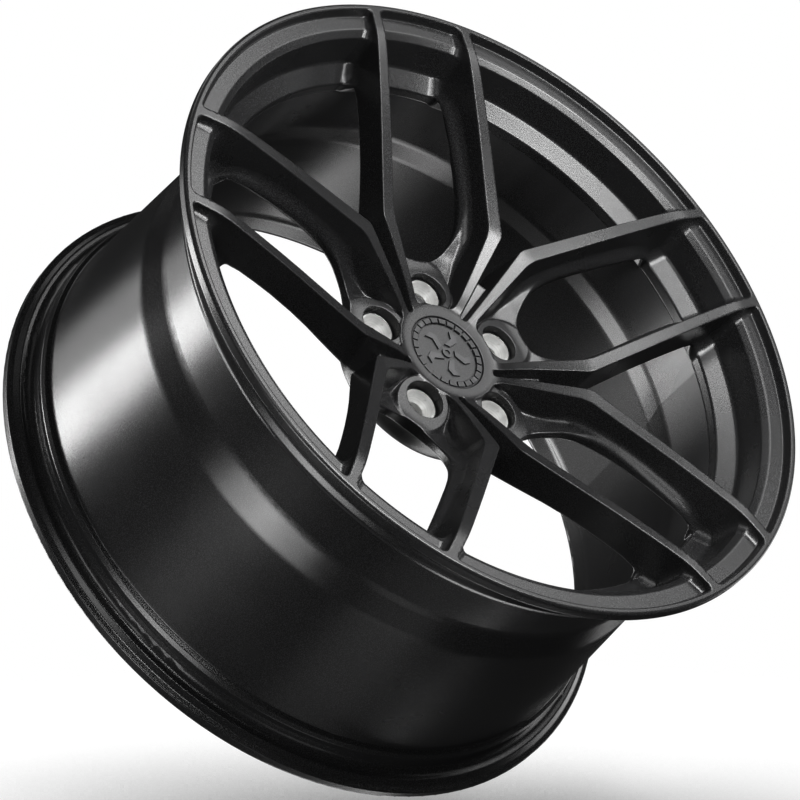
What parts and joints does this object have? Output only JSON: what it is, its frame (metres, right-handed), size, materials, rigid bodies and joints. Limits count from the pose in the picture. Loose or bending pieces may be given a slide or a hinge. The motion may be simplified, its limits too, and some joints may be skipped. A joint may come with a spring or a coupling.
{
  "type": "forged racing wheel rim",
  "caption": "Deep concave light-alloy wheel rim with paired slim spokes, satin black finish, steel lug seats, push-in centre cap and clamp-in valve.",
  "frame": {"origin": "on the wheel axis, halfway between the outer faces of the two flanges (the rim centre plane)", "axes": "+Y along the wheel axis towards the car, so the styled face looks along -Y; +Z through lug seat 1"},
  "size_m": [0.522, 0.2666, 0.522],
  "materials": {
    "satin_black": "satin black powder coat over forged aluminium",
    "barrel_black": "satin black powder coat over turned aluminium",
    "seat_steel": "zinc plated, machined seat",
    "ring_aluminium": "turned",
    "cap_plastic": "fine grain",
    "cap_trim": "satin",
    "badge_plastic": "satin",
    "spring_steel": "drawn wire",
    "valve_metal": "turned and anodised",
    "valve_rubber": "moulded",
    "valve_brass": "turned",
    "valve_cap_black": "moulded"
  },
  "bodies": {
    "wheel": {"wheel_face_forging": "satin_black", "flow_formed_barrel": "barrel_black", "lug_seat_insert_1": "seat_steel", "lug_seat_insert_2": "seat_steel", "lug_seat_insert_3": "seat_steel", "lug_seat_insert_4": "seat_steel", "lug_seat_insert_5": "seat_steel", "hub_centric_ring": "ring_aluminium", "valve_stem": "valve_metal", "valve_seal": "valve_rubber", "valve_washer": "valve_metal", "valve_nut": "valve_metal", "valve_core_body": "valve_brass", "valve_core_spring": "spring_steel"},
    "centre_cap": {"centre_cap_body": "cap_plastic", "centre_cap_trim_ring": "cap_trim", "centre_cap_badge": "badge_plastic", "centre_cap_spring_ring": "spring_steel"},
    "valve_pin": {"valve_core_pin": "valve_brass", "valve_core_gasket": "valve_rubber"},
    "dust_cap": {"valve_cap": "valve_cap_black", "valve_cap_gasket": "valve_rubber"}
  },
  "joints": [
    {"name": "centre_cap_pull", "type": "slide", "parent": "wheel", "child": "centre_cap", "axis": [0, -1, 0], "range_m": [0, 0.06]},
    {"name": "valve_pin_press", "type": "slide", "parent": "wheel", "child": "valve_pin", "axis": [-0.7431, 0, 0.6691], "range_m": [0, 0.0015], "stiffness_N_per_m": 400, "springref_m": -0.002, "deforming": ["valve_core_spring"]},
    {"name": "dust_cap_off", "type": "slide", "parent": "wheel", "child": "dust_cap", "axis": [0.7431, 0, -0.6691], "range_m": [0, 0.03]}
  ]
}
